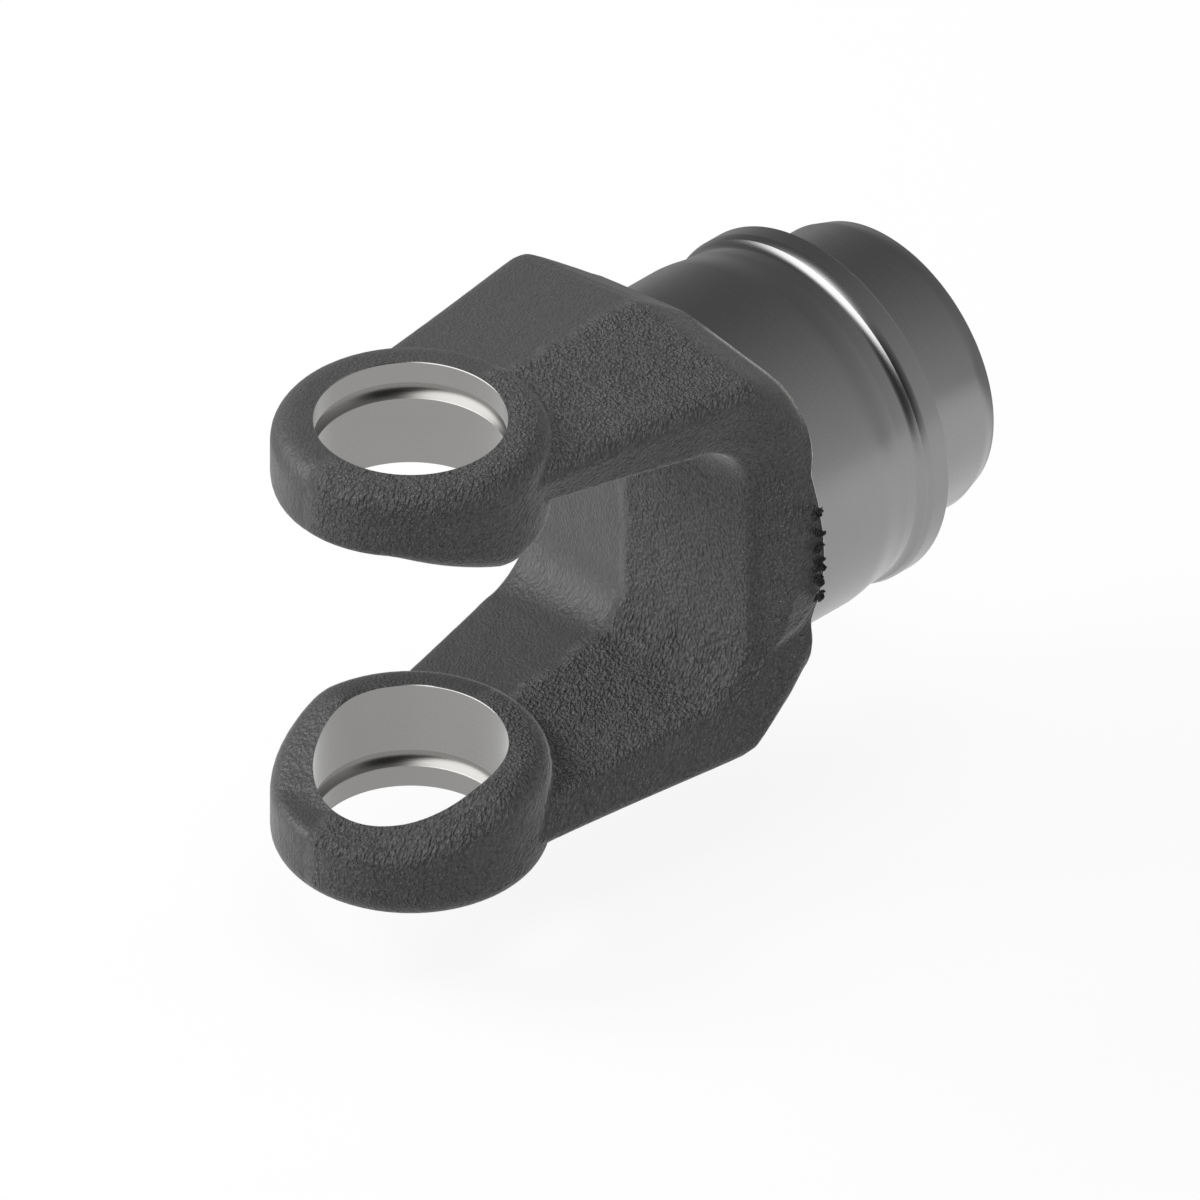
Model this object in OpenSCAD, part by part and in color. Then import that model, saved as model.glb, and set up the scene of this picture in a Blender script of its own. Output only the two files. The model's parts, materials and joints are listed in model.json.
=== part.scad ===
// Forged yoke: a two-ear fork, forged in one with a turned hub and pilot.
// X runs along the shaft from the cross centre to the hub, Z along the ear bores, Y across the fork.
// The dies part on the plane y = 0, so every skin face falls away from it by the draft.

/* [Ears] */
// Diameter of the bore in each ear, which takes a bearing cup
bore_d = 32; // [26:0.5:34]
// Distance over the outer faces of the two ears
ear_span = 85; // [80:0.5:96]
// Clear distance between the inner faces of the two ears
ear_gap = 44.4; // [38:0.2:52]
// Outside diameter of each ear
ear_d = 46.2; // [44:0.2:50]
// Radius round the outer rim of each ear
ear_edge_r = 4.1; // [1:0.1:5]
// Radius round the inner rim of each ear, on the arm's side
ear_inner_edge_r = 4.4; // [2:0.1:6]
// Radius round the inner rim of each ear, at its tip
ear_tip_edge_r = 1.5; // [0.5:0.1:3]
// Angle at which the inner face falls back towards the tip of each ear
tip_angle = 22.6; // [10:0.2:30]
// Distance from the bore axis to the crease where that fall begins
tip_crease_x = 1.1; // [0:0.1:6]
// Height of the flat land at the tip, where that fall ends
tip_in_z = 29.8; // [27:0.1:36]

/* [Ring grooves and bore edges] */
// Land between the ear's outer face and the snap ring groove
ring_land = 4; // [2:0.1:6]
// Width of the snap ring groove
ring_w = 3.3; // [1.5:0.1:5]
// Depth of the snap ring groove below the bore wall
ring_depth = 1; // [0.5:0.1:2]
// Radial size of the lead-in chamfer at the inner end of each bore
lead_in_r = 0.75; // [0.2:0.05:1.5]
// Length of that chamfer along the bore
lead_in_l = 1.4; // [0.5:0.1:2]

/* [Fork] */
// Height of the arm's outer face above the shaft axis, on the parting line
arm_out_z = 40.8; // [38:0.2:42]
// Height of the arm's inner face above the shaft axis, at the bore axis
arm_in_z = 28.8; // [28:0.1:32]
// Angle at which the arm's inner face closes in towards the throat
arm_in_angle = 8.4; // [2:0.2:12]
// Width over the outer edges of an arm at its waist, just behind the ear
waist_w = 43.4; // [38:0.2:48]
// Width over the sides of the fork at the shoulder
fork_w = 60.2; // [58:0.2:64]
// How much narrower an arm is along its inner edges than along its outer ones
side_lean = 3; // [0:0.2:8]
// Diameter of the round forged neck behind the throat
neck_d = 65.8; // [64.6:0.2:68]
// Thickness of the fork's base, from the bottom of the throat to the shoulder
base_l = 14; // [12.4:0.1:19]
// Radius in the corner between arm and throat
throat_r = 8.2; // [5:0.1:12]
// Length over which the arm's outer face falls to the shoulder
fall_l = 11.1; // [7.5:0.1:17]
// Height of the fork's outer face where it ends at the shoulder
shoulder_z = 32.5; // [31.8:0.1:36]
// Draft of the forged faces away from the parting plane
draft_angle = 7.6; // [4:0.2:9]
// Radius along the outer edges of the arms
arm_edge_r = 3; // [1.5:0.1:5]
// Radius of the fork's outer corners at the shoulder
corner_r = 11.6; // [6:0.2:14]
// Radius along the inner edges of the arms and throat
throat_edge_r = 1.6; // [0.5:0.1:3]
// Length of the round neck before the shoulder
neck_l = 12.8; // [9.5:0.1:14.3]

/* [Hub] */
// Distance from the bore axis to the turned shoulder, which ends the fork
shoulder_x = 63.3; // [61:0.1:70]
// Diameter of the turned hub, and of the collar behind it
hub_d = 62.8; // [60:0.2:63]
// Length of the full hub, from the shoulder to the relief
hub_l = 15.7; // [12:0.1:20]
// Length of the relief, with the fall before it
relief_l = 7.6; // [6:0.1:12]
// Diameter at the bottom of the relief
relief_d = 61.2; // [57:0.2:61.6]
// Length of the collar, with the fillet and the chamfer at its front
collar_l = 6.6; // [4:0.1:9]
// Diameter of the pilot that enters the shaft tube
pilot_d = 51.8; // [46:0.1:55]
// Length of the pilot, with its chamfer
pilot_l = 16.7; // [10:0.1:30]
// Length of the chamfer at the pilot's end
pilot_chamfer_l = 3.4; // [1:0.1:5]
// Radial size of that chamfer
pilot_chamfer_r = 1; // [0.4:0.1:3]
// Diameter of the lathe centre hole in the end face
centre_d = 6; // [3:0.5:10]

/* [Hidden] */
$fn = 96;

// Ears
ear_r = ear_d / 2;
bore_r = bore_d / 2;
ear_out_z = ear_span / 2;
ear_in_z = ear_gap / 2;
ear_core_r = bore_r - 2;
ear_steps = 60;
round_steps = 6;
face_steps = 4;

// Fork. The far side of the throat is a fan of sections about the corner's centre.
slack = 4;
fork_end_x = shoulder_x + slack;
draft = tan(draft_angle);
neck_r = neck_d / 2;
throat_x = shoulder_x - base_l;
bend_x = shoulder_x - fall_l;
neck_x = shoulder_x - neck_l;
arm_in_slope = tan(arm_in_angle);
fall_slope = (arm_out_z - shoulder_z) / (shoulder_x - bend_x);
corner_x = throat_x - throat_r;
corner_z = arm_in_z - arm_in_slope * corner_x - throat_r / cos(arm_in_angle);
arm_start_x = 8;
waist_x = 8;
side_curve = 1.19;
fan_steps = 16;
arm_steps = 9;
base_steps = 3;
side_steps = 5;
bend_soft = 1.5;
neck_ramp_l = 3;

// Hub
hub_r = hub_d / 2;
relief_r = relief_d / 2;
pilot_r = pilot_d / 2;
relief_x = shoulder_x + hub_l;
relief_ramp_l = 3.6;
relief_steps = 6;
collar_x = relief_x + relief_l;
collar_fillet_l = 1.8;
collar_chamfer_l = 1.1;
collar_chamfer_r = 0.28;
collar_steps = 5;
seat_x = collar_x + collar_l;
end_x = seat_x + pilot_l;
collar_edge = 0.35;
centre_depth = centre_d * 0.9;

// A soft step from 0 to 1
function ease(t) = let (u = max(0, min(1, t))) u * u * (3 - 2 * u);

// Half width of the fork over its outer edges
function side(x) = waist_w / 2 + (fork_w - waist_w) / 2 * pow(max(0, x - waist_x) / (shoulder_x - waist_x), side_curve);

// Height of the inner and the outer face on the parting line. The bend between arm and fall is soft.
function arm_in(x) = arm_in_z - arm_in_slope * x;
function top(x) = arm_out_z - fall_slope * (x - bend_x + norm([x - bend_x, bend_soft])) / 2;

// The outer edge is round. Its radius grows from the bend to the shoulder.
function edge_r(x) = arm_edge_r + (corner_r - arm_edge_r) * max(0, x - bend_x) / (shoulder_x - bend_x);
function edge_z(x) = top(x) - draft * (side(x) - edge_r(x)) - edge_r(x) / cos(draft_angle);

// Half width at any point: the fork's side less its lean, its round outer edge, or the neck where that stands proud
function half_width(x, z, lean) =
    let (w = side(x) - lean, r = edge_r(x), up = z - edge_z(x), neck = sqrt(max(0, neck_r * neck_r - z * z)))
    up > r ? max(0, top(x) - z) / draft
        : up > 0 ? w - r + sqrt(r * r - up * up)
        : w + max(0, neck - w) * ease((x - neck_x) / neck_ramp_l);

// A station is a plane through the fork: where it starts on the inner face, its direction and its reach.
function arm_station(x) = [[x, arm_in(x)], [0, 1], ear_span];

function fan_station(a) =
    [[corner_x + throat_r * cos(a), corner_z + throat_r * sin(a)],
     [cos(a), sin(a)],
     min(ear_span, (fork_end_x - corner_x) / max(0.01, cos(a)) - throat_r)];

function base_station(z) = [[throat_x, z], [1, 0], fork_end_x - throat_x];

upper_stations = concat(
    [for (i = [0 : arm_steps - 1]) arm_station(arm_start_x + (corner_x - arm_start_x) * i / arm_steps)],
    [for (i = [0 : fan_steps]) fan_station(90 - 90 * i / fan_steps)],
    [for (i = [1 : base_steps]) base_station(corner_z * (1 - i / base_steps))]);

// Distance along a station to the outer face: to the ridge (a < 0), or to the angle a round the edge.
function skin_z(x, a) = a < 0 ? top(x) : edge_z(x) + edge_r(x) * cos(a);
function crossing(s, a, low, high, steps) =
    let (t = (low + high) / 2, x = s[0].x + s[1].x * t)
    steps == 0 ? t
        : s[0].y + s[1].y * t > skin_z(x, a) ? crossing(s, a, low, t, steps - 1)
        : crossing(s, a, t, high, steps - 1);

// Half width at the distance t along a station
function width_at(s, t, lean) = half_width(s[0].x + s[1].x * t, s[0].y + s[1].y * t, lean);

// The half outline of a station, as [y, t], from the outer ridge round to the inner ridge
function half_outline(s) =
    let (end_w = width_at(s, s[2], 0),
         rounds = [for (i = [0 : round_steps])
             let (a = draft_angle + (90 - draft_angle) * i / round_steps,
                  t = crossing(s, a, 0, s[2] + 1, 22),
                  x = s[0].x + s[1].x * t)
             t < s[2] ? [side(x) - edge_r(x) * (1 - sin(a)), t] : [end_w - (round_steps + 1 - i) / 20, s[2]]],
         last = rounds[round_steps],
         r_in = throat_edge_r,
         w_in = side(s[0].x) - side_lean / 2,
         t_in = draft * (w_in - r_in) + r_in)
    concat(
        [[0, min(s[2], crossing(s, -1, 0, s[2] + 1, 22))]],
        rounds,
        [for (i = [1 : side_steps - 1])
            let (f = i / side_steps, t = last.y + (t_in - last.y) * f)
            [width_at(s, t, side_lean / 2 * f), t]],
        [for (i = [0 : round_steps - 2])
            let (a = (90 - draft_angle) * i / (round_steps - 2))
            [w_in - r_in + r_in * cos(a), t_in - r_in * sin(a)]],
        [[0, 0]]);

// The whole ring of a station, in space. The lower half of the fork mirrors the upper one.
function outline(s, up) =
    let (half = half_outline(s), n = len(half))
    [for (p = concat(half, [for (i = [n - 2 : -1 : 1]) [-half[i].x, half[i].y]]))
        [s[0].x + s[1].x * p.y, p.x, up * (s[0].y + s[1].y * p.y)]];

// A closed solid through rings that all have the same number of points.
module loft(rings) {
    n = len(rings[0]);
    m = len(rings);
    points = [for (ring = rings) each ring];
    first = [for (i = [n - 1 : -1 : 0]) i];
    last = [for (i = [0 : n - 1]) (m - 1) * n + i];
    walls = [for (k = [0 : m - 2], i = [0 : n - 1])
        let (a = k * n + i, b = k * n + (i + 1) % n)
        [b, b + n, a + n, a]];
    polyhedron(points, concat([first, last], walls));
}

module fork() {
    loft(concat(
        [for (s = upper_stations) outline(s, 1)],
        [for (i = [len(upper_stations) - 2 : -1 : 0]) outline(upper_stations[i], -1)]));
}

// Height of an ear's inner face: flat, then falling back towards the tip, and flat again at the tip
function ear_in(x) = min(tip_in_z, ear_in_z + tan(tip_angle) * max(0, tip_crease_x - x));

// The section of an ear in the half plane at angle a round the bore
function ear_section(a) =
    let (z_in = ear_in(ear_r * cos(a)),
         rim_r = ear_tip_edge_r + (ear_inner_edge_r - ear_tip_edge_r) * ease((1.2 + cos(a)) / 1.2),
         r = min(rim_r, (ear_out_z - ear_edge_r - z_in) * 0.9))
    concat(
        [[ear_core_r, ear_out_z]],
        [for (i = [0 : round_steps])
            let (b = 90 * i / round_steps)
            [ear_r - ear_edge_r + ear_edge_r * sin(b), ear_out_z - ear_edge_r + ear_edge_r * cos(b)]],
        [for (i = [0 : round_steps])
            let (b = 90 * i / round_steps, d = ear_r - r + r * cos(b))
            [d, ear_in(d * cos(a)) + r - r * sin(b)]],
        [for (i = [1 : face_steps])
            let (d = ear_r - r + (ear_core_r - ear_r + r) * i / face_steps)
            [d, ear_in(d * cos(a))]]);

// A closed ring through sections that stand round the Z axis
module ring_of(sections) {
    n = len(sections[0]);
    m = len(sections);
    points = [for (k = [0 : m - 1])
        let (a = 360 * k / m)
        each [for (p = sections[k]) [p.x * cos(a), p.x * sin(a), p.y]]];
    walls = [for (k = [0 : m - 1], i = [0 : n - 1])
        let (a = k * n + i, b = k * n + (i + 1) % n, c = ((k + 1) % m) * n + i, d = ((k + 1) % m) * n + (i + 1) % n)
        each [[d, b, a], [c, d, a]]];
    polyhedron(points, walls);
}

module ear() {
    ring_of([for (k = [0 : ear_steps - 1]) ear_section(360 * k / ear_steps)]);
}

// The turned end: hub, relief, collar, pilot and chamfer
module hub() {
    rotate([0, 90, 0])
        rotate_extrude()
            polygon(concat(
                [[0, shoulder_x - 2],
                 [hub_r - 3, shoulder_x - 2],
                 [hub_r, shoulder_x]],
                [for (i = [0 : relief_steps])
                    let (t = i / relief_steps)
                    [hub_r - (hub_r - relief_r) * ease(t), relief_x + relief_ramp_l * t]],
                [for (i = [0 : collar_steps])
                    let (t = i / collar_steps)
                    [relief_r + (hub_r - relief_r - collar_chamfer_r) * t * t, collar_x + collar_fillet_l * t]],
                [[hub_r, collar_x + collar_fillet_l + collar_chamfer_l],
                 [hub_r, seat_x - collar_edge],
                 [hub_r - collar_edge, seat_x],
                 [pilot_r, seat_x],
                 [pilot_r, end_x - pilot_chamfer_l],
                 [pilot_r - pilot_chamfer_r, end_x],
                 [centre_d / 2, end_x],
                 [0, end_x - centre_depth]]));
}

// What the lathe takes off the back of the fork
module shoulder_cut() {
    translate([shoulder_x, 0, 0])
        rotate([0, 90, 0])
            cylinder(r = ear_span, h = slack * 2);
}

// One ear's bore, from inside the fork outwards
module bore() {
    translate([0, 0, ear_in_z - slack])
        cylinder(r = bore_r, h = ear_out_z - ear_in_z + 2 * slack);
    translate([0, 0, ear_in_z - lead_in_l])
        cylinder(r1 = bore_r + 2 * lead_in_r, r2 = bore_r, h = 2 * lead_in_l);
    translate([0, 0, ear_out_z - ring_land - ring_w])
        cylinder(r = bore_r + ring_depth, h = ring_w);
}

module forged_yoke() {
    color([0.26, 0.26, 0.27])
        difference() {
            union() {
                difference() {
                    fork();
                    shoulder_cut();
                }
                hub();
                ear();
                mirror([0, 0, 1])
                    ear();
            }
            bore();
            mirror([0, 0, 1])
                bore();
        }
}

forged_yoke();
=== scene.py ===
"""Forged yoke: dark forged skin, turned hub and bored ears, on a pale studio floor."""
import json
import math
import random

import bpy
from mathutils import Matrix, Vector


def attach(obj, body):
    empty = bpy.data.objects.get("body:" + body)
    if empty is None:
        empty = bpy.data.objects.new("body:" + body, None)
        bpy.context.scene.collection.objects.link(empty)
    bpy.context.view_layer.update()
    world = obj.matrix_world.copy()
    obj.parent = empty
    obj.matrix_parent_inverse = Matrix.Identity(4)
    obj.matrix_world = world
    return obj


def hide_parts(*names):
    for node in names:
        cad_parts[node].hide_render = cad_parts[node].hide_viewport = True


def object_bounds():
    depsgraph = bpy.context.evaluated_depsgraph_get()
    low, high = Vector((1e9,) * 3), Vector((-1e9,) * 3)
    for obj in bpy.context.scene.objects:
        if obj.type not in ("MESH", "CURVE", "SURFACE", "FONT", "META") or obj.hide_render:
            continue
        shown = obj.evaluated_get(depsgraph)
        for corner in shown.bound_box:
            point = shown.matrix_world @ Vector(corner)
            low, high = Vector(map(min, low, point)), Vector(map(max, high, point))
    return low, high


bl_info = {
    "name": "Forged Yoke",
    "version": (1, 0, 0),
    "blender": (4, 5, 0),
    "location": "3D View > Sidebar > Yoke",
    "description": "Dresses the packed yoke: forged skin, turned hub, bored ears and burnt crumbs",
    "category": "Object",
}

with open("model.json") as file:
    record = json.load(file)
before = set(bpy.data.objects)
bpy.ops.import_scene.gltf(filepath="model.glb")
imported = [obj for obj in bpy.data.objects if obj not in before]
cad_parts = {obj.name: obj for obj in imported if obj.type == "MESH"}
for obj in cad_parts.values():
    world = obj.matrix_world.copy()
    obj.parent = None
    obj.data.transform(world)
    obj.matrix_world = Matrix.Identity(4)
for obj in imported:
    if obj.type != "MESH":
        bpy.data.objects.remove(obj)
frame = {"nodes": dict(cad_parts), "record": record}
cad_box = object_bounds()
cad_node = frame["nodes"]["forged_yoke"]
mounts = {m["name"]: m for m in frame["record"]["mounts"]}
cross_bore = mounts["cross_bore"]["dims"]
pilot_pin = mounts["pilot"]["dims"]
tube_seat_x = mounts["tube_seat"]["pos_m"][0]
end_x = cad_box[1].x

MM = 0.001

# Mesh work on the forging
WELD = 1e-6  # vertices closer than this are merged
SLIVER = 0.00001  # the first cut stands this far before the shoulder
STUB_CELLS = 4  # mesh cells of stub beyond the shoulder, so that its edge stays sharp
RIM_BANDS = ((0.8, 1.1), (0.4, 0.8), (-0.8, -0.4), (-1.1, -0.8))  # z of open rims, in half spans
LEAST_FACES = 10000  # a sound forging has many more
SMOOTH_ANGLE = 32  # degrees; sharper edges than this are shaded as edges

# The neck is drawn in at its sides, under the crumbs
NECK_REACH = 6 * MM  # over this length before the shoulder,
NECK_SIDE = 31 * MM  # from this distance off Y = 0 on,
NECK_SCALE = 0.985  # by this scale,
NECK_FADE = 5 * MM  # and less and less over this distance round it

# Turned profiles
ROOT = 3 * MM  # the hub's solid starts this far inside the forging
FALL_STEPS = 10
FILLET_BEND = 50  # degrees through which the fillet before the collar turns
FILLET_STEPS = 10
EDGE_BREAK = 0.35 * MM
SEAT_FILLET = 0.5 * MM
END_BREAK = 0.2 * MM
CENTRE_DEPTH = 1.8  # depth of the lathe's centre hole, in radii
CUTTER_CLEAR = 4 * MM  # a bore's cutter stands this far beyond both faces of its ear
WALL_STEPS = 12
GROOVE_TILT = 60  # degrees of the arc in a ring groove's lower corner
GROOVE_STEPS = 12

# Textures of the forged skin: cells a metre, and heights as shares of the bump's depth
GRAIN_TURN = (-0.25, 0.67, 0.0)  # the grain is drawn out along the Z axis turned like this,
GRAIN_REACH = 2.0  # to so many times its width
GRAIN_CELLS, GRAIN_HEIGHT = 1850.0, 0.7
PIT_CELLS, PIT_HEIGHT = 2200.0, 1.3
LUMP_CELLS, LUMP_HEIGHT = 260.0, 1.6
PATCH_CELLS, PATCH_HEIGHT = 45.0, 0.5
SKIN_BUMP = 1.0 * MM

# Other textures, in cells a metre
WANDER_CELLS = 150.0
RAGGED_CELLS = 420.0
LATHE_CELLS = 2600.0
STAIN_CELLS = 60.0
CRUST_CELLS = 2200.0

# How metallic and how rough the steels are
SKIN_METAL = 0.15
SKIN_SPECULAR = 0.45
SKIN_ROUGH = 0.37
BARE_ROUGH = 0.3
LATHE_ROUGH = 0.24
CRUST_ROUGH = 0.85

# Colours in the materials that aren't offered as settings, and how far each one covers
PATCH_COLOUR, PATCH_COVER = (0.07, 0.069, 0.072), 0.2
SOOT_COLOUR, SOOT_COVER = (0.02, 0.019, 0.02), 0.55
# painted highlight: the shine on the shoulder's machined edge break, painted on the skin near the
# corners
SHOULDER_HIGHLIGHT_COLOUR, SHOULDER_HIGHLIGHT_COVER = (0.7, 0.69, 0.68), 0.8
# painted shade in the ring grooves of the bores
GROOVE_SHADE_COLOUR, GROOVE_SHADE_COVER = (0.11, 0.105, 0.09), 0.35
BARE_COLOUR = (0.6, 0.595, 0.59)
CRUST_COLOUR = (0.05, 0.046, 0.045)
STAIN_SHADE, STAIN_COVER = 0.85, 0.25
WHITE = (1.0, 1.0, 1.0)

# Heaps of crumbs down the neck's edge: height in mm, spread in mm, size in middling crumbs
CRUMB_HEAPS = (
    (9.0, 1.6, 1.0),
    (4.6, 0.6, 0.75),
    (2.3, 1.3, 1.1),
    (-0.6, 0.4, 0.75),
    (-2.2, 1.2, 1.0),
    (-4.8, 1.0, 1.05),
    (-8.2, 1.3, 0.95),
)
CRUMBS_A_HEAP = 5
CRUMB_SEED = 7
CRUMB_SHAPE = (1.3, 0.8, 0.8)
CRUMB_JAG = 0.3  # how far the points of a crumb are thrown about, in its radii

# Soft lamps: name, place from the yoke's centre, side of the square, power in watts
LAMPS = (
    ("left_window", (-0.35, 0.68, 0.44), 0.4, 7.1),
    ("top_window", (0.1, -0.05, 0.8), 0.45, 2.4),
    ("right_window", (0.6, -0.3, 0.5), 0.35, 0.4),
)

# The world as a light: brighter on one side
LIGHT_FROM = (-0.6, 0.8, 0.0)
DULL_LIGHT, SKY_LIGHT = 0.03, 0.6

# The sky that is mirrored in the steel: dark at the viewer, with one bright window
WINDOW_AT = (-0.71, 0.27, 0.65)
WINDOW_BRIGHT = 3.6
VIEWER_AT = (-0.64, -0.68, 0.36)
VIEWER_DARK = 0.92
SKY_MEAN = 0.5
SKY_FALL = (0.0, 0.26, 0.27)  # it gets darker this way
AHEAD_X, AHEAD_FALL = 0.63, 0.5  # and faster where a ray's X is more than this

# Floor
FLOOR_SIZE = 6.0
FLOOR_SHADE = (0.9, 0.9, 0.9)
FLOOR_AS_LIGHT = (0.2, 0.2, 0.2)
FLOOR_GLOW = 0.9  # share of plain glow, which keeps the floor pale in the shadow
FAR_START, FAR_END = 0.1, 0.15  # the mirrored floor gets dimmer from here to here behind the yoke,
FAR_DIM = 0.68  # by this share

# Camera
AIM_RIGHT = 31.05 * MM  # the camera's aim, to the right of the origin in the picture
AIM_UP = 4.97 * MM  # and above it
CAMERA_AWAY = 1.0
CAMERA_CLIP = 10.0  # beyond the floor


# Settings that a user would change


def length(name, description, default, low=0.0, high=0.3):
    return bpy.props.FloatProperty(
        name=name,
        description=description,
        default=default,
        min=low,
        max=high,
        precision=5,
        unit="LENGTH",
    )


def fraction(name, description, default):
    return bpy.props.FloatProperty(
        name=name, description=description, default=default, min=0.0, max=1.0, subtype="FACTOR"
    )


def angle(name, description, degrees):
    return bpy.props.FloatProperty(
        name=name, description=description, default=math.radians(degrees), subtype="ANGLE"
    )


def count(name, description, default, low, high):
    return bpy.props.IntProperty(
        name=name, description=description, default=default, min=low, max=high
    )


def colour(name, description, default):
    return bpy.props.FloatVectorProperty(
        name=name,
        description=description,
        default=default,
        size=3,
        min=0.0,
        max=1.0,
        subtype="COLOR",
    )


class YokeForging(bpy.types.PropertyGroup):
    """The forged fork and ears"""

    shoulder_x: length("Shoulder", "Where the forging ends along the shaft", 63.3 * MM)
    grain: length("Mesh grain", "Size of the forged skin's mesh cells", 0.7 * MM, 0.3 * MM)
    soften: count("Soften", "Passes that round the forging's corners", 3, 0, 60)
    skin_colour: colour("Skin", "Colour of the smooth skin", (0.073, 0.072, 0.073))
    # Painted shade in the creases and painted highlight on the grain tops of the coarse half;
    # together they also paint that half lighter than the smooth skin, to make up for its shading
    crease_colour: colour("Creases", "Colour between the coarse grains", (0.085, 0.084, 0.085))
    grain_colour: colour("Grains", "Colour on top of the coarse grains", (0.155, 0.152, 0.15))
    smooth_die: fraction("Smooth half", "Share of the grain that the smooth half keeps", 0.16)


class YokeHub(bpy.types.PropertyGroup):
    """The turned hub, collar and pilot"""

    hub_r: length("Hub radius", "Radius of the hub and the collar", 31.4 * MM)
    relief_r: length("Relief radius", "Radius in the relief before the collar", 30.6 * MM)
    relief_x: length("Relief start", "Where the hub starts to fall to the relief", 77.5 * MM)
    relief_ramp: length("Relief fall", "Length of that fall", 7.0 * MM)
    collar_x: length("Collar start", "Where the fillet before the collar begins", 86.6 * MM)
    collar_fillet: length("Collar fillet", "Length of that fillet", 1.8 * MM)
    collar_chamfer_l: length("Collar chamfer", "Length of the chamfer behind the fillet", 1.2 * MM)
    collar_chamfer_r: length("Collar chamfer depth", "Radial size of that chamfer", 0.42 * MM)
    seat_x: length("Tube seat", "Place of the collar's rear face", tube_seat_x)
    pilot_r: length("Pilot radius", "Radius of the pilot", pilot_pin["r_mm"] * MM)
    chamfer_l: length("Pilot chamfer", "Length of the chamfer at the pilot's end", 3.4 * MM)
    chamfer_r: length("Pilot chamfer depth", "Radial size of that chamfer", 1.0 * MM)
    centre_r: length("Centre hole", "Radius of the lathe's centre hole", 3.0 * MM)
    steps: count("Steps", "Steps round the hub", 256, 24, 512)
    steel_colour: colour("Turned steel", "Colour of the turned steel", (0.3, 0.296, 0.297))


class YokeBores(bpy.types.PropertyGroup):
    """The two bores for the bearing cups"""

    bore_r: length("Bore radius", "Radius of the bores", cross_bore["r_mm"] * MM)
    half_span: length(
        "Half span", "From the shaft axis to an ear's outer face", cross_bore["length_mm"] * MM / 2
    )
    gap_half: length("Half gap", "From the shaft axis to an ear's inner face", 22.2 * MM)
    ring_land: length("Ring land", "Land between outer face and ring groove", 4.0 * MM)
    ring_w: length("Ring groove", "Width of the ring groove", 3.3 * MM)
    ring_depth: length("Groove depth", "Depth of the ring groove", 1.3 * MM)
    lead_r: length("Lead-in depth", "Radial size of the lead-in at the inner end", 0.08 * MM)
    lead_l: length("Lead-in length", "Length of that lead-in", 3.4 * MM)
    inner_rim: length("Inner rim break", "Size of the broken edge at the inner face", 0.22 * MM)
    rim: length("Rim break", "Size of the broken edge at the outer face", 0.12 * MM)
    steps: count("Steps", "Steps round each bore", 160, 24, 512)
    bored_colour: colour("Bored steel", "Colour of the bored steel", (0.305, 0.301, 0.296))


class YokeCrumbs(bpy.types.PropertyGroup):
    """Crumbs of burnt steel on the neck's edge"""

    size: length("Crumb size", "Radius of a middling crumb", 0.75 * MM)
    neck_r: length("Neck radius", "Radius out to which the crumbs stand on the neck", 32.78 * MM)
    burnt_colour: colour("Burnt steel", "Colour of the crumbs", (0.012, 0.011, 0.012))


class YokeStudio(bpy.types.PropertyGroup):
    """Floor, lights and camera"""

    floor_gap: length("Floor gap", "Space under the yoke, which its pilot holds", 12.0 * MM)
    azimuth: angle("Azimuth", "Camera angle round the yoke", -44.6)
    elevation: angle("Elevation", "Camera angle above the horizon", 35.15)
    view_width: length("View width", "Width of the parallel view", 196.72 * MM, 0.01, 1.0)


GROUPS = (
    ("yoke_forging", YokeForging),
    ("yoke_hub", YokeHub),
    ("yoke_bores", YokeBores),
    ("yoke_crumbs", YokeCrumbs),
    ("yoke_studio", YokeStudio),
)


# Shader maths: expressions on sockets add their own Math nodes


class Val:
    """A socket in a node tree, on which Python expressions add Math nodes"""

    def __init__(self, sheet, socket):
        self.sheet = sheet
        self.socket = socket

    def _math(self, operation, *others, clamp=False):
        sockets = dict(enumerate((self,) + others))
        made = self.sheet.node("ShaderNodeMath", sockets, operation=operation, use_clamp=clamp)
        return made["Value"]

    def __add__(self, other):
        return self._math("ADD", other)

    def __radd__(self, other):
        return self._math("ADD", other)

    def __sub__(self, other):
        return self._math("SUBTRACT", other)

    def __rsub__(self, other):
        return (self * -1.0)._math("ADD", other)

    def __mul__(self, other):
        return self._math("MULTIPLY", other)

    def __rmul__(self, other):
        return self._math("MULTIPLY", other)

    def __pow__(self, other):
        return self._math("POWER", other)

    def abs(self):
        return self._math("ABSOLUTE")

    def least(self, other):
        return self._math("MINIMUM", other)

    def clamped(self):
        return self._math("ADD", 0.0, clamp=True)

    def between(self, low, high):
        """A soft step from 0 at low to 1 at high"""
        sockets = {"Value": self, "From Min": low, "From Max": high, "To Min": 0.0, "To Max": 1.0}
        made = self.sheet.node("ShaderNodeMapRange", sockets, interpolation_type="SMOOTHSTEP")
        return made["Result"]


class Made:
    """A node whose outputs are read by name"""

    def __init__(self, sheet, node):
        self.sheet = sheet
        self.node = node

    def __getitem__(self, name):
        return Val(self.sheet, self.node.outputs[name])


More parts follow.
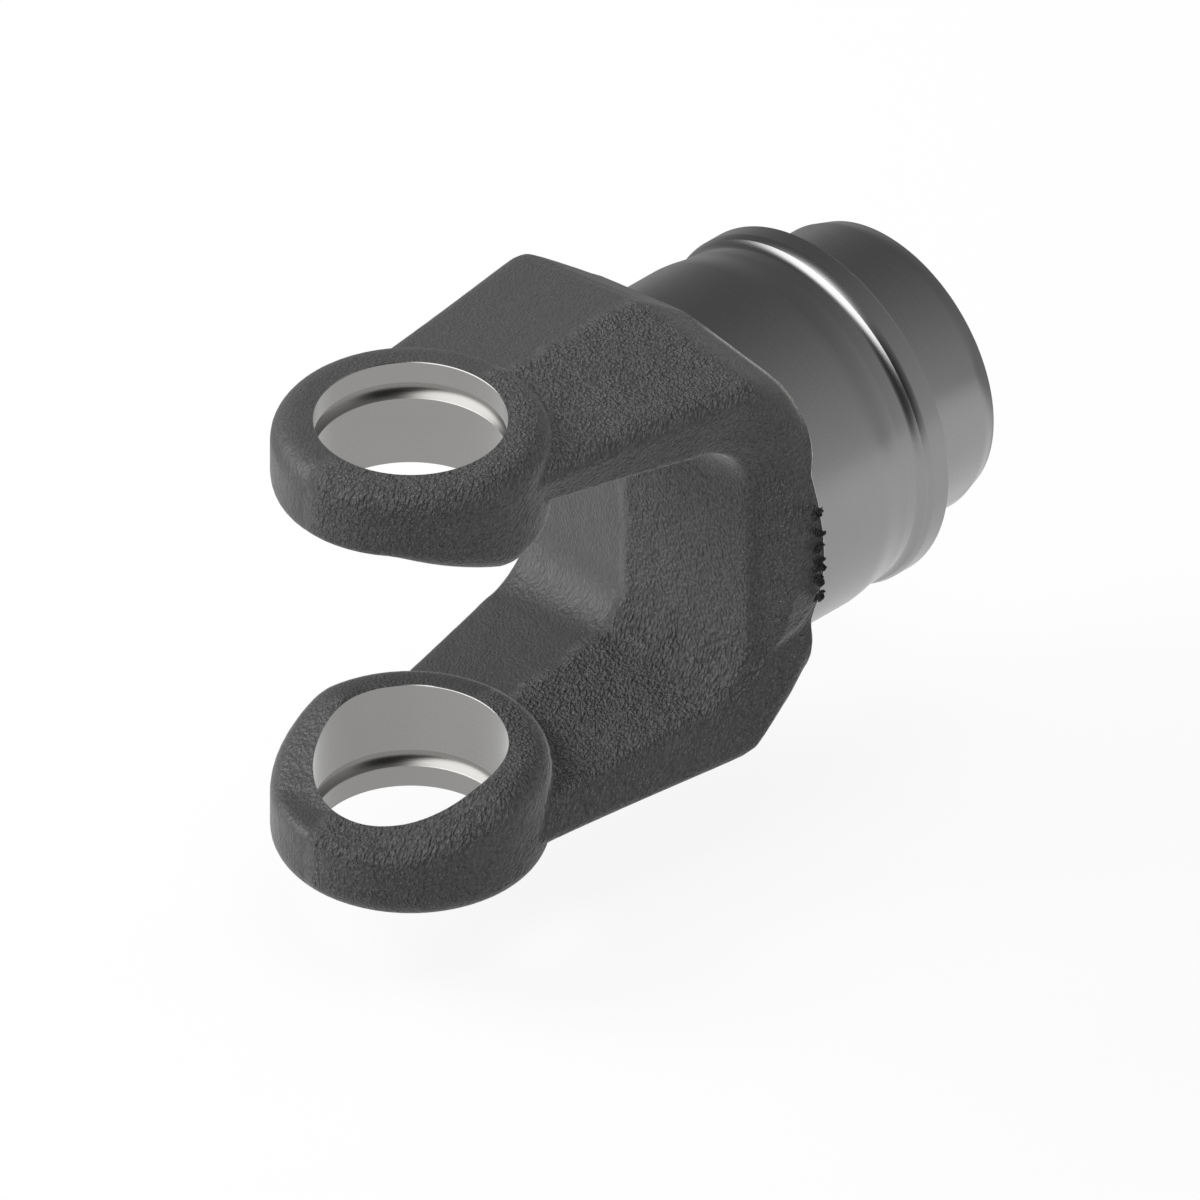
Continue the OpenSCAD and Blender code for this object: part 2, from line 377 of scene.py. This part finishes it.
class Sheet:
    """The node tree of a material or a world"""

    def __init__(self, owner):
        owner.use_nodes = True
        self.tree = owner.node_tree
        self.tree.nodes.clear()

    def fill(self, socket, value):
        """Links a Val to the socket, or sets a plain value on it"""
        if isinstance(value, Val):
            self.tree.links.new(value.socket, socket)
        elif socket.type == "RGBA":
            socket.default_value = (*value, 1.0)
        else:
            socket.default_value = value

    def node(self, kind, sockets=None, **settings):
        """Adds a node, sets its properties and fills its sockets"""
        node = self.tree.nodes.new(kind)
        for key, value in settings.items():
            setattr(node, key, value)
        for key, value in (sockets or {}).items():
            self.fill(node.inputs[key], value)
        return Made(self, node)

    def place(self):
        """Object coordinates: the vector, and its x, y and z"""
        vector = self.node("ShaderNodeTexCoord")["Object"]
        parts = self.node("ShaderNodeSeparateXYZ", {"Vector": vector})
        return vector, parts["X"], parts["Y"], parts["Z"]

    def noise(self, vector, scale, detail=3.0, rough=0.5, twist=0.0):
        """Fractal noise with so many cells a metre"""
        sockets = {"Vector": vector, "Scale": scale, "Detail": detail, "Roughness": rough}
        sockets["Distortion"] = twist
        return self.node("ShaderNodeTexNoise", sockets, noise_dimensions="3D")["Fac"]

    def rings(self, along, scale, detail=3.0, rough=0.6):
        """Noise that changes along one axis only"""
        sockets = {"W": along, "Scale": scale, "Detail": detail, "Roughness": rough}
        return self.node("ShaderNodeTexNoise", sockets, noise_dimensions="1D")["Fac"]

    def pebbles(self, vector, scale):
        """Rounded grains: 1 at the middle of each cell, falling to 0 in the creases between"""
        sockets = {"Vector": vector, "Scale": scale, "Smoothness": 0.35, "Randomness": 1.0}
        cells = {"feature": "SMOOTH_F1", "voronoi_dimensions": "3D"}
        return 1.0 - self.node("ShaderNodeTexVoronoi", sockets, **cells)["Distance"]

    def drawn_out(self, vector, turn, reach):
        """Coordinates in which a texture is drawn out along the turned Z axis"""
        sockets = {"Vector": vector, "Rotation": turn, "Scale": (1.0, 1.0, reach)}
        return self.node("ShaderNodeMapping", sockets, vector_type="TEXTURE")["Vector"]

    def blend(self, factor, first, second):
        """The first colour at factor 0 and the second at factor 1"""
        mix = self.node("ShaderNodeMix", {"Factor": factor}, data_type="RGBA").node
        for key, value in (("A", first), ("B", second)):
            self.fill(next(s for s in mix.inputs if s.name == key and s.type == "RGBA"), value)
        return Val(self, next(s for s in mix.outputs if s.type == "RGBA"))

    def bump(self, height, distance, strength=1.0):
        sockets = {"Height": height, "Distance": distance, "Strength": strength}
        return self.node("ShaderNodeBump", sockets)["Normal"]

    def mix(self, factor, first, second):
        """The first shader at factor 0 and the second at factor 1"""
        return self.node("ShaderNodeMixShader", {0: factor, 1: first, 2: second})["Shader"]

    def backdrop(self, shade, strength):
        sockets = {"Color": shade, "Strength": strength}
        return self.node("ShaderNodeBackground", sockets)["Background"]

    def surface(self, shader):
        self.node("ShaderNodeOutputMaterial", {"Surface": shader})

    def principled(self, sockets):
        self.surface(self.node("ShaderNodeBsdfPrincipled", sockets)["BSDF"])


def forged_skin(settings):
    """Dark skin with drawn-out grain, coarse on the half toward -Y and fine on the other"""
    material = bpy.data.materials.new("forged_skin")
    sheet = Sheet(material)
    vector, x, y, z = sheet.place()
    near = -1.0 * y
    shoulder_x = settings.shoulder_x

    # The dies meet near Y = 0, along a line that wanders.
    wander = (sheet.noise(vector, WANDER_CELLS, rough=0.6) - 0.5) * 5.0 * MM
    smooth_half = (y + wander).between(-1.2 * MM, 1.6 * MM)
    rough_half = 1.0 - smooth_half * (1.0 - settings.smooth_die)

    drawn = sheet.drawn_out(vector, GRAIN_TURN, GRAIN_REACH)
    grains = sheet.pebbles(drawn, GRAIN_CELLS)
    pits = sheet.noise(drawn, PIT_CELLS, detail=2.0, rough=0.65, twist=0.3)
    lumps = sheet.noise(vector, LUMP_CELLS, detail=2.0)
    patches = sheet.noise(vector, PATCH_CELLS)
    grain = grains * GRAIN_HEIGHT + pits * PIT_HEIGHT + lumps * LUMP_HEIGHT
    height = grain * rough_half + patches * PATCH_HEIGHT

    # The very edge at the shoulder is bare steel. Before it, near the corners, a painted highlight
    # stands for the shine on the shoulder's machined edge break, and the skin is sooty at the
    # crumbs.
    ragged = sheet.noise(vector, RAGGED_CELLS, detail=2.0) * 0.3 * MM
    bare = x.between(shoulder_x - 0.03 * MM, shoulder_x - 0.01 * MM)
    shoulder_highlight = (x + ragged).between(shoulder_x - 2.4 * MM, shoulder_x)
    shoulder_highlight = shoulder_highlight * z.abs().between(21 * MM, 28 * MM) * near.between(-1 * MM, 8 * MM)
    soot = (x + ragged * 8.0).between(shoulder_x - 3.0 * MM, shoulder_x)
    soot = soot * near.between(31.2 * MM, 32.0 * MM)

    # Painted shade in the creases between the coarse grains and painted highlight on their tops;
    # the coarse half is also painted lighter overall than the smooth one, to make up for its
    # shading
    shade_to_highlight = (grains + pits).between(0.7, 1.4)
    coarse = sheet.blend(shade_to_highlight, settings.crease_colour, settings.grain_colour)
    skin = sheet.blend(rough_half, settings.skin_colour, coarse)
    skin = sheet.blend(patches.between(0.35, 0.7) * PATCH_COVER, skin, PATCH_COLOUR)
    skin = sheet.blend(soot * SOOT_COVER, skin, SOOT_COLOUR)
    skin = sheet.blend(shoulder_highlight * shoulder_highlight * SHOULDER_HIGHLIGHT_COVER, skin, SHOULDER_HIGHLIGHT_COLOUR)
    sheet.principled(
        {
            "Base Color": sheet.blend(bare, skin, BARE_COLOUR),
            "Metallic": SKIN_METAL + bare * (1.0 - SKIN_METAL),
            "Roughness": SKIN_ROUGH - bare * (SKIN_ROUGH - BARE_ROUGH),
            "Specular IOR Level": SKIN_SPECULAR,
            "Normal": sheet.bump(height * (1.0 - bare), SKIN_BUMP),
        }
    )
    return material


def turned_steel(name, shade, axis, groove=None):
    """Turned steel with fine rings round the axis, and painted shade in a groove (radius, low z,
    high z)
    """
    material = bpy.data.materials.new(name)
    sheet = Sheet(material)
    vector, x, y, z = sheet.place()
    lines = sheet.rings(x if axis == "X" else z, LATHE_CELLS)
    stains = sheet.noise(vector, STAIN_CELLS).between(0.3, 0.75)
    base = sheet.blend(stains * STAIN_COVER, shade, tuple(STAIN_SHADE * c for c in shade))
    if groove:
        far, low, high = groove
        fade = 0.1 * MM
        out = (x * x + y * y) ** 0.5
        inside = z.abs().between(low, low + fade) * (1.0 - z.abs().between(high, high + fade))
        cut = out.between(far, far + fade) * inside
        # Painted shade: the groove's recess is darkened in the colour
        base = sheet.blend(cut * GROOVE_SHADE_COVER, base, GROOVE_SHADE_COLOUR)
    sheet.principled(
        {
            "Base Color": base,
            "Metallic": 1.0,
            "Roughness": LATHE_ROUGH + lines * 0.08,
            "Normal": sheet.bump(lines, 0.02 * MM, 0.06),
        }
    )
    return material


def burnt_steel(shade):
    """Matt black scale"""
    material = bpy.data.materials.new("burnt_steel")
    sheet = Sheet(material)
    crust = sheet.noise(sheet.place()[0], CRUST_CELLS, rough=0.6)
    base = sheet.blend(crust.between(0.45, 0.8), shade, CRUST_COLOUR)
    sheet.principled(
        {"Base Color": base, "Roughness": CRUST_ROUGH, "Normal": sheet.bump(crust, 0.3 * MM)}
    )
    return material


def pale_floor():
    """White to the camera, white but dimmer far behind in mirror images, and dim as a light"""
    material = bpy.data.materials.new("pale_floor")
    sheet = Sheet(material)
    ray = sheet.node("ShaderNodeLightPath")
    _, x, y, _ = sheet.place()
    behind = (x * 0.7 + y * 0.7).between(FAR_START, FAR_END)
    shade = 1.0 - behind * ray["Is Glossy Ray"] * FAR_DIM
    glow = sheet.node("ShaderNodeEmission", {"Color": shade, "Strength": 1.0})["Emission"]
    diffuse = sheet.node("ShaderNodeBsdfDiffuse", {"Color": FLOOR_SHADE})["BSDF"]
    dim = sheet.node("ShaderNodeBsdfDiffuse", {"Color": FLOOR_AS_LIGHT})["BSDF"]
    seen = (ray["Is Camera Ray"] + ray["Is Glossy Ray"] + ray["Is Transmission Ray"]).clamped()
    sheet.surface(sheet.mix(seen, dim, sheet.mix(FLOOR_GLOW, diffuse, glow)))
    return material


def toward(parts, direction):
    """How far a ray, given by its parts, points in a direction"""
    x, y, z = direction
    return parts["X"] * x + parts["Y"] * y + parts["Z"] * z


def studio_world():
    """White to the camera, gloomy with one window in mirror images, and a dull light from +Y"""
    world = bpy.data.worlds.new("studio")
    sheet = Sheet(world)
    ray = sheet.node("ShaderNodeLightPath")
    direction = sheet.node("ShaderNodeTexCoord")["Generated"]
    parts = sheet.node("ShaderNodeSeparateXYZ", {"Vector": direction})
    ahead = (AHEAD_X - parts["X"]).least(0.0) * AHEAD_FALL
    gloom = (SKY_MEAN + ahead - toward(parts, SKY_FALL)).clamped()
    window = toward(parts, WINDOW_AT).between(0.64, 0.86)
    viewer = toward(parts, VIEWER_AT).between(0.45, 0.8)
    sky = gloom * (1.0 - viewer * VIEWER_DARK) * (1.0 - window) + window * WINDOW_BRIGHT
    side = toward(parts, LIGHT_FROM).between(-1.0, 1.0)
    plain = sheet.mix(side, sheet.backdrop(WHITE, DULL_LIGHT), sheet.backdrop(WHITE, SKY_LIGHT))
    lit = sheet.mix(ray["Is Glossy Ray"], plain, sheet.backdrop(sky, 1.0))
    shown = sheet.mix(ray["Is Camera Ray"], lit, sheet.backdrop(WHITE, 1.0))
    sheet.node("ShaderNodeOutputWorld", {"Surface": shown})
    return world


# Modelling helpers


def only(obj):
    """Deselects everything, then selects obj and makes it active"""
    if bpy.context.object and bpy.context.object.mode != "OBJECT":
        bpy.ops.object.mode_set(mode="OBJECT")
    bpy.ops.object.select_all(action="DESELECT")
    bpy.context.view_layer.objects.active = obj
    obj.select_set(True)


def edit(obj):
    """Opens obj in edit mode with all of its vertices selected"""
    only(obj)
    bpy.ops.object.mode_set(mode="EDIT")
    bpy.ops.mesh.select_mode(type="VERT")
    bpy.ops.mesh.select_all(action="SELECT")


def pick(obj, test, kind):
    """Selects the elements of obj that pass the test, of which there must be some, in edit mode"""
    bpy.ops.object.mode_set(mode="OBJECT")
    chosen = 0
    for element in getattr(obj.data, kind):
        element.select = test(element)
        chosen += element.select
    bpy.ops.object.mode_set(mode="EDIT")
    if not chosen:
        raise RuntimeError(f"none of the {kind} of {obj.name} passed the test")


def cut_off(x):
    """Cuts the selected mesh at x, takes away what lies beyond and closes the cut"""
    bpy.ops.mesh.bisect(plane_co=(x, 0, 0), plane_no=(1, 0, 0), clear_outer=True, use_fill=True)


def combine(obj, other, operation):
    """Joins other to obj, or cuts it out of obj, and takes other's materials on the new faces"""
    only(obj)
    modifier = obj.modifiers.new(operation.lower(), "BOOLEAN")
    modifier.operation = operation
    modifier.object = other
    modifier.solver = "EXACT"
    modifier.material_mode = "TRANSFER"
    bpy.ops.object.modifier_apply(modifier=modifier.name)
    bpy.data.objects.remove(other, do_unlink=True)
    if len(obj.data.polygons) < LEAST_FACES:
        raise RuntimeError(f"the Boolean {operation.lower()} spoilt {obj.name}")


def lathe(name, profile, axis, steps, material):
    """A closed turned solid. Its profile runs as (along, radius) from the axis and back to it."""
    along = Vector((1, 0, 0)) if axis == "X" else Vector((0, 0, 1))
    out = Vector((0, 0, 1)) if axis == "X" else Vector((1, 0, 0))
    points = [along * a + out * r for a, r in profile]
    bpy.ops.object.select_all(action="DESELECT")
    bpy.ops.mesh.primitive_plane_add(size=0.01, location=(0, 0, 0))
    obj = bpy.context.object
    obj.name = obj.data.name = name
    edit(obj)
    bpy.ops.mesh.merge(type="CENTER")
    bpy.ops.transform.translate(value=points[0])
    for start, stop in zip(points, points[1:]):
        bpy.ops.mesh.extrude_vertices_move(TRANSFORM_OT_translate={"value": stop - start})
    bpy.ops.mesh.select_all(action="SELECT")
    bpy.ops.mesh.spin(steps=steps, angle=2 * math.pi, center=(0, 0, 0), axis=along)
    bpy.ops.mesh.select_all(action="SELECT")
    bpy.ops.mesh.remove_doubles(threshold=WELD)
    bpy.ops.mesh.normals_make_consistent(inside=False)
    bpy.ops.object.mode_set(mode="OBJECT")
    obj.data.materials.append(material)
    return obj


def arc(centre, radius, start, stop, steps):
    """Points of an arc in the profile's plane, from the angle start to stop in degrees"""
    turns = [math.radians(start + (stop - start) * i / steps) for i in range(steps + 1)]
    return [(centre[0] + radius * math.cos(t), centre[1] + radius * math.sin(t)) for t in turns]


# Pieces


class YOKE_OT_forging(bpy.types.Operator):
    """Make the forged fork and ears as one soft-edged solid"""

    bl_idname = "yoke.forging"
    bl_label = "Forging"

    def execute(self, context):
        settings = context.scene.yoke_forging
        body = bpy.data.objects.new("yoke_body", cad_node.data.copy())
        context.scene.collection.objects.link(body)
        body.data.materials.clear()
        body.data.materials.append(forged_skin(settings))
        self.cut_hub_off(body, settings)
        self.close_bores(body, context.scene.yoke_bores)
        self.soften(body, settings)
        self.draw_neck_in(body, settings)
        if len(body.data.polygons) < LEAST_FACES:
            raise RuntimeError("the forging's mesh is too coarse")
        return {"FINISHED"}

    def cut_hub_off(self, body, settings):
        """Ends the forging in a stub at the shoulder, because the hub is turned afterwards"""
        edit(body)
        bpy.ops.mesh.remove_doubles(threshold=WELD)
        cut_off(settings.shoulder_x - SLIVER)
        bpy.ops.mesh.select_mode(type="FACE")
        points = body.data.vertices
        least_x = settings.shoulder_x - 2 * SLIVER
        pick(body, lambda f: all(points[v].co.x > least_x for v in f.vertices), "polygons")
        stub = (STUB_CELLS * settings.grain, 0, 0)
        bpy.ops.mesh.extrude_region_move(TRANSFORM_OT_translate={"value": stub})

    def close_bores(self, body, bores):
        """Takes out the bores' walls and fills the ears, because the bores are turned afterwards"""
        reach = bores.bore_r + bores.ring_depth + 0.1 * MM
        bpy.ops.object.mode_set(mode="OBJECT")
        points = body.data.vertices
        pick(body, lambda f: all(points[v].co.xy.length < reach for v in f.vertices), "polygons")
        bpy.ops.mesh.delete(type="FACE")
        for low, high in RIM_BANDS:
            bpy.ops.mesh.select_mode(type="EDGE")
            bpy.ops.mesh.select_all(action="DESELECT")
            bpy.ops.mesh.select_non_manifold()
            bpy.ops.object.mode_set(mode="OBJECT")
            rim = {tuple(e.vertices) for e in body.data.edges if e.select}
            points = body.data.vertices
            pick(
                body,
                lambda e: tuple(e.vertices) in rim
                and all(low < points[v].co.z / bores.half_span < high for v in e.vertices),
                "edges",
            )
            bpy.ops.mesh.fill(use_beauty=True)
        bpy.ops.mesh.select_all(action="SELECT")
        bpy.ops.mesh.normals_make_consistent(inside=False)
        bpy.ops.object.mode_set(mode="OBJECT")

    def soften(self, body, settings):
        """Rounds the forging's corners on an even mesh, then cuts the stub off at the shoulder"""
        body.data.remesh_voxel_size = settings.grain
        bpy.ops.object.voxel_remesh()
        smooth = body.modifiers.new("soften", "SMOOTH")
        smooth.factor = 0.5
        smooth.iterations = settings.soften
        bpy.ops.object.modifier_apply(modifier=smooth.name)
        edit(body)
        cut_off(settings.shoulder_x)

    def draw_neck_in(self, body, settings):
        """Leaves room for the crumbs at the sides of the neck, inside the CAD's box"""
        start_x = settings.shoulder_x - NECK_REACH
        pick(body, lambda v: v.co.x > start_x and abs(v.co.y) > NECK_SIDE, "vertices")
        bpy.ops.mesh.select_mode(type="VERT")
        bpy.ops.transform.resize(
            value=(1, NECK_SCALE, 1),
            center_override=(0, 0, 0),
            use_proportional_edit=True,
            proportional_edit_falloff="SMOOTH",
            proportional_size=NECK_FADE,
        )
        bpy.ops.object.mode_set(mode="OBJECT")


class YOKE_OT_hub(bpy.types.Operator):
    """Turn the hub, relief, collar and pilot, and join them to the forging"""

    bl_idname = "yoke.hub"
    bl_label = "Turned Hub"

    def execute(self, context):
        settings = context.scene.yoke_hub
        shoulder_x = context.scene.yoke_forging.shoulder_x
        hub_r = settings.hub_r
        relief_depth = hub_r - settings.relief_r
        fall = [
            (
                settings.relief_x + settings.relief_ramp * t,
                settings.relief_r + relief_depth * (0.5 + 0.5 * math.cos(math.pi * t)),
            )
            for t in [i / FALL_STEPS for i in range(FALL_STEPS + 1)]
        ]
        crest_r = hub_r - settings.collar_chamfer_r
        crest_x = settings.collar_x + settings.collar_fillet
        flat_x = crest_x + settings.collar_chamfer_l
        bend = math.radians(FILLET_BEND)
        fillet_r = settings.collar_fillet / math.sin(bend)
        low_r = crest_r - fillet_r * (1 - math.cos(bend))
        fillet_mid = (settings.collar_x, low_r + fillet_r)
        rise = arc(fillet_mid, fillet_r, 270, 270 + FILLET_BEND, FILLET_STEPS)
        seat_x = settings.seat_x
        pilot_r = settings.pilot_r
        corner = (seat_x + SEAT_FILLET, pilot_r + SEAT_FILLET)
        nose_r = pilot_r - settings.chamfer_r
        profile = [
            (shoulder_x - ROOT, 0.0),
            (shoulder_x - ROOT, hub_r - ROOT),
            # short faces on both sides of the shoulder, where the forging's mesh joins
            (shoulder_x - 0.4 * MM, hub_r),
            (shoulder_x + 0.3 * MM, hub_r),
            *fall,
            *rise,
            # the fillet's crest, the chamfer and the collar
            (crest_x + 0.06 * MM, crest_r - 0.03 * MM),
            (crest_x + 0.12 * MM, crest_r),
            (flat_x, hub_r),
            (flat_x + 0.2 * MM, hub_r),
            (seat_x - EDGE_BREAK, hub_r),
            (seat_x, hub_r - EDGE_BREAK),
            (seat_x, pilot_r + SEAT_FILLET),
            *arc(corner, SEAT_FILLET, 202.5, 270, 3),
            # the pilot, its chamfer and the lathe's centre hole
            (end_x - settings.chamfer_l, pilot_r),
            (end_x - END_BREAK, nose_r),
            (end_x, nose_r - END_BREAK),
            (end_x, settings.centre_r),
            (end_x - settings.centre_r * CENTRE_DEPTH, 0.0),
        ]
        steel = turned_steel("turned_steel", tuple(settings.steel_colour), "X")
        hub = lathe("hub", profile, "X", settings.steps, steel)
        combine(bpy.data.objects["yoke_body"], hub, "UNION")
        return {"FINISHED"}


class YOKE_OT_bores(bpy.types.Operator):
    """Bore both ears, with ring groove, lead-in and broken outer edge"""

    bl_idname = "yoke.bores"
    bl_label = "Ear Bores"

    def execute(self, context):
        settings = context.scene.yoke_bores
        r = settings.bore_r
        outer = settings.half_span
        inner = settings.gap_half
        groove_out = outer - settings.ring_land
        groove_in = groove_out - settings.ring_w
        groove_r = r + settings.ring_depth
        # where the painted shade in the ring groove goes
        groove_shade_mask = (r + 0.1 * MM, groove_in - 0.2 * MM, groove_out + 0.1 * MM)
        steel = turned_steel("bored_steel", tuple(settings.bored_colour), "Z", groove_shade_mask)
        mouth_r = r + settings.lead_r
        wide_r = mouth_r + 3 * settings.inner_rim
        wall_in = inner + settings.lead_l
        wall_l = groove_in - inner - settings.lead_l
        tilt = math.radians(GROOVE_TILT)
        round_r = settings.ring_depth / (1 - math.cos(tilt))
        round_l = round_r * math.sin(tilt)
        round_mid = r + settings.ring_depth - round_r
        for side in (1, -1):
            # The lower corner of each groove is round: the inner one above, the outer one below.
            if side > 0:
                middle = (groove_in + round_l, round_mid)
                rounded = arc(middle, round_r, 90 + GROOVE_TILT, 90, GROOVE_STEPS)
                groove = [*rounded[1:], (groove_out, groove_r), (groove_out, r)]
            else:
                middle = (groove_out - round_l, round_mid)
                rounded = arc(middle, round_r, 90, 90 - GROOVE_TILT, GROOVE_STEPS)
                groove = [(groove_in, groove_r), *rounded]
            profile = [
                (inner - CUTTER_CLEAR, 0.0),
                (inner - CUTTER_CLEAR, wide_r),
                (inner - 2 * settings.inner_rim, wide_r),
                (inner + settings.inner_rim, mouth_r),
                *[(wall_in + wall_l * i / WALL_STEPS, r) for i in range(WALL_STEPS + 1)],
                *groove,
                (outer - settings.rim, r),
                (outer + settings.rim, r + 2 * settings.rim),
                (outer + CUTTER_CLEAR, r + 2 * settings.rim),
                (outer + CUTTER_CLEAR, 0.0),
            ]
            profile = [(side * along, radius) for along, radius in profile]
            cutter = lathe("bore_cutter", profile, "Z", settings.steps, steel)
            combine(bpy.data.objects["yoke_body"], cutter, "DIFFERENCE")
        return {"FINISHED"}


class YOKE_OT_finish(bpy.types.Operator):
    """Clean the joined body, smooth its shading and set it in the frame"""

    bl_idname = "yoke.finish"
    bl_label = "Finish Body"

    def execute(self, context):
        body = bpy.data.objects["yoke_body"]
        edit(body)
        bpy.ops.mesh.remove_doubles(threshold=2 * WELD)
        bpy.ops.mesh.normals_make_consistent(inside=False)
        bpy.ops.object.mode_set(mode="OBJECT")
        bpy.ops.mesh.customdata_custom_splitnormals_clear()
        bpy.ops.object.shade_smooth_by_angle(angle=math.radians(SMOOTH_ANGLE))
        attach(body, "root")
        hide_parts("forged_yoke")
        body.visible_glossy = False
        return {"FINISHED"}


class YOKE_OT_crumbs(bpy.types.Operator):
    """Stick the crumbs of burnt steel on the neck's edge"""

    bl_idname = "yoke.crumbs"
    bl_label = "Burnt Crumbs"

    def execute(self, context):
        settings = context.scene.yoke_crumbs
        edge_x = context.scene.yoke_forging.shoulder_x - 0.7 * MM
        chance = random.Random(CRUMB_SEED)
        crumbs = []
        for height, spread, size in CRUMB_HEAPS:
            for part in range(CRUMBS_A_HEAP):
                share, up, back = 0.9, height * MM, edge_x
                if part > 0:
                    share = chance.uniform(0.4, 0.75)
                    up += chance.uniform(-0.7, 0.7) * spread * MM
                    back += chance.uniform(-1.5, 0.7) * MM
                radius = settings.size * size * share
                skin = math.sqrt(settings.neck_r**2 - up**2) + 0.3 * MM
                out = min(skin, settings.neck_r - radius * 0.95)
                bpy.ops.object.select_all(action="DESELECT")
                bpy.ops.mesh.primitive_ico_sphere_add(
                    subdivisions=2, radius=radius, location=(back, -out, up), scale=CRUMB_SHAPE
                )
                crumb = bpy.context.object
                edit(crumb)
                bpy.ops.transform.vertex_random(
                    offset=radius * CRUMB_JAG, uniform=0.8, normal=0.8, seed=len(crumbs)
                )
                bpy.ops.object.mode_set(mode="OBJECT")
                crumbs.append(crumb)
        only(crumbs[0])
        for crumb in crumbs:
            crumb.select_set(True)
        bpy.ops.object.join()
        bpy.ops.object.transform_apply(location=True, rotation=True, scale=True)
        joined = bpy.context.object
        joined.name = joined.data.name = "burnt_crumbs"
        joined.data.materials.append(burnt_steel(tuple(settings.burnt_colour)))
        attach(joined, "root")
        return {"FINISHED"}


class YOKE_OT_studio(bpy.types.Operator):
    """Set the pale floor, the soft lights and the camera"""

    bl_idname = "yoke.studio"
    bl_label = "Studio"

    def execute(self, context):
        settings = context.scene.yoke_studio
        scene = context.scene
        scene.view_settings.view_transform = "Standard"
        scene.world = studio_world()
        low, high = cad_box
        centre = (low + high) / 2
        self.add_floor((centre.x, centre.y, low.z - settings.floor_gap))
        self.add_lamps(scene, centre)
        self.add_camera(scene, settings)
        return {"FINISHED"}

    def add_floor(self, place):
        bpy.ops.object.select_all(action="DESELECT")
        bpy.ops.mesh.primitive_plane_add(size=FLOOR_SIZE, location=place)
        floor = bpy.context.object
        floor.name = floor.data.name = "floor"
        bpy.ops.object.transform_apply(location=True, rotation=True, scale=True)
        floor.data.materials.append(pale_floor())

    def add_lamps(self, scene, centre):
        for name, place, size, power in LAMPS:
            lamp = bpy.data.lights.new(name, "AREA")
            lamp.shape = "SQUARE"
            lamp.size = size
            lamp.energy = power
            obj = bpy.data.objects.new(name, lamp)
            obj.visible_glossy = False
            scene.collection.objects.link(obj)
            obj.location = centre + Vector(place)
            obj.rotation_mode = "QUATERNION"
            obj.rotation_quaternion = (-Vector(place)).to_track_quat("-Z", "Y")

    def add_camera(self, scene, settings):
        """A parallel view from the azimuth and elevation, aimed a little off the origin"""
        a, e = settings.azimuth, settings.elevation
        back = Vector((math.sin(a) * math.cos(e), -math.cos(a) * math.cos(e), math.sin(e)))
        right = Vector((math.cos(a), math.sin(a), 0.0))
        up = back.cross(right)
        camera = bpy.data.objects.new("camera", bpy.data.cameras.new("camera"))
        scene.collection.objects.link(camera)
        camera.data.type = "ORTHO"
        camera.data.ortho_scale = settings.view_width
        camera.data.clip_end = CAMERA_CLIP
        aim = right * AIM_RIGHT + up * AIM_UP
        turn = Matrix((right, up, back)).transposed()
        camera.matrix_world = Matrix.Translation(aim + back * CAMERA_AWAY) @ turn.to_4x4()
        scene.camera = camera


class YOKE_PT_panel(bpy.types.Panel):
    """Lists the yoke's pieces and their sizes"""

    bl_idname = "YOKE_PT_panel"
    bl_label = "Forged Yoke"
    bl_space_type = "VIEW_3D"
    bl_region_type = "UI"
    bl_category = "Yoke"

    def draw(self, context):
        for operator in OPERATORS:
            self.layout.operator(operator.bl_idname)
        for name, group in GROUPS:
            box = self.layout.box()
            box.label(text=group.__doc__)
            settings = getattr(context.scene, name)
            for key in group.__annotations__:
                box.prop(settings, key)


OPERATORS = (
    YOKE_OT_forging,
    YOKE_OT_hub,
    YOKE_OT_bores,
    YOKE_OT_finish,
    YOKE_OT_crumbs,
    YOKE_OT_studio,
)
CLASSES = tuple(group for _, group in GROUPS) + OPERATORS + (YOKE_PT_panel,)


def register():
    for cls in CLASSES:
        bpy.utils.register_class(cls)
    for name, group in GROUPS:
        setattr(bpy.types.Scene, name, bpy.props.PointerProperty(type=group))


def unregister():
    for name, _ in GROUPS:
        delattr(bpy.types.Scene, name)
    for cls in reversed(CLASSES):
        bpy.utils.unregister_class(cls)


def main():
    register()
    bpy.ops.yoke.forging()
    bpy.ops.yoke.hub()
    bpy.ops.yoke.bores()
    bpy.ops.yoke.finish()
    bpy.ops.yoke.crumbs()
    bpy.ops.yoke.studio()


if __name__ == "__main__":
    main()
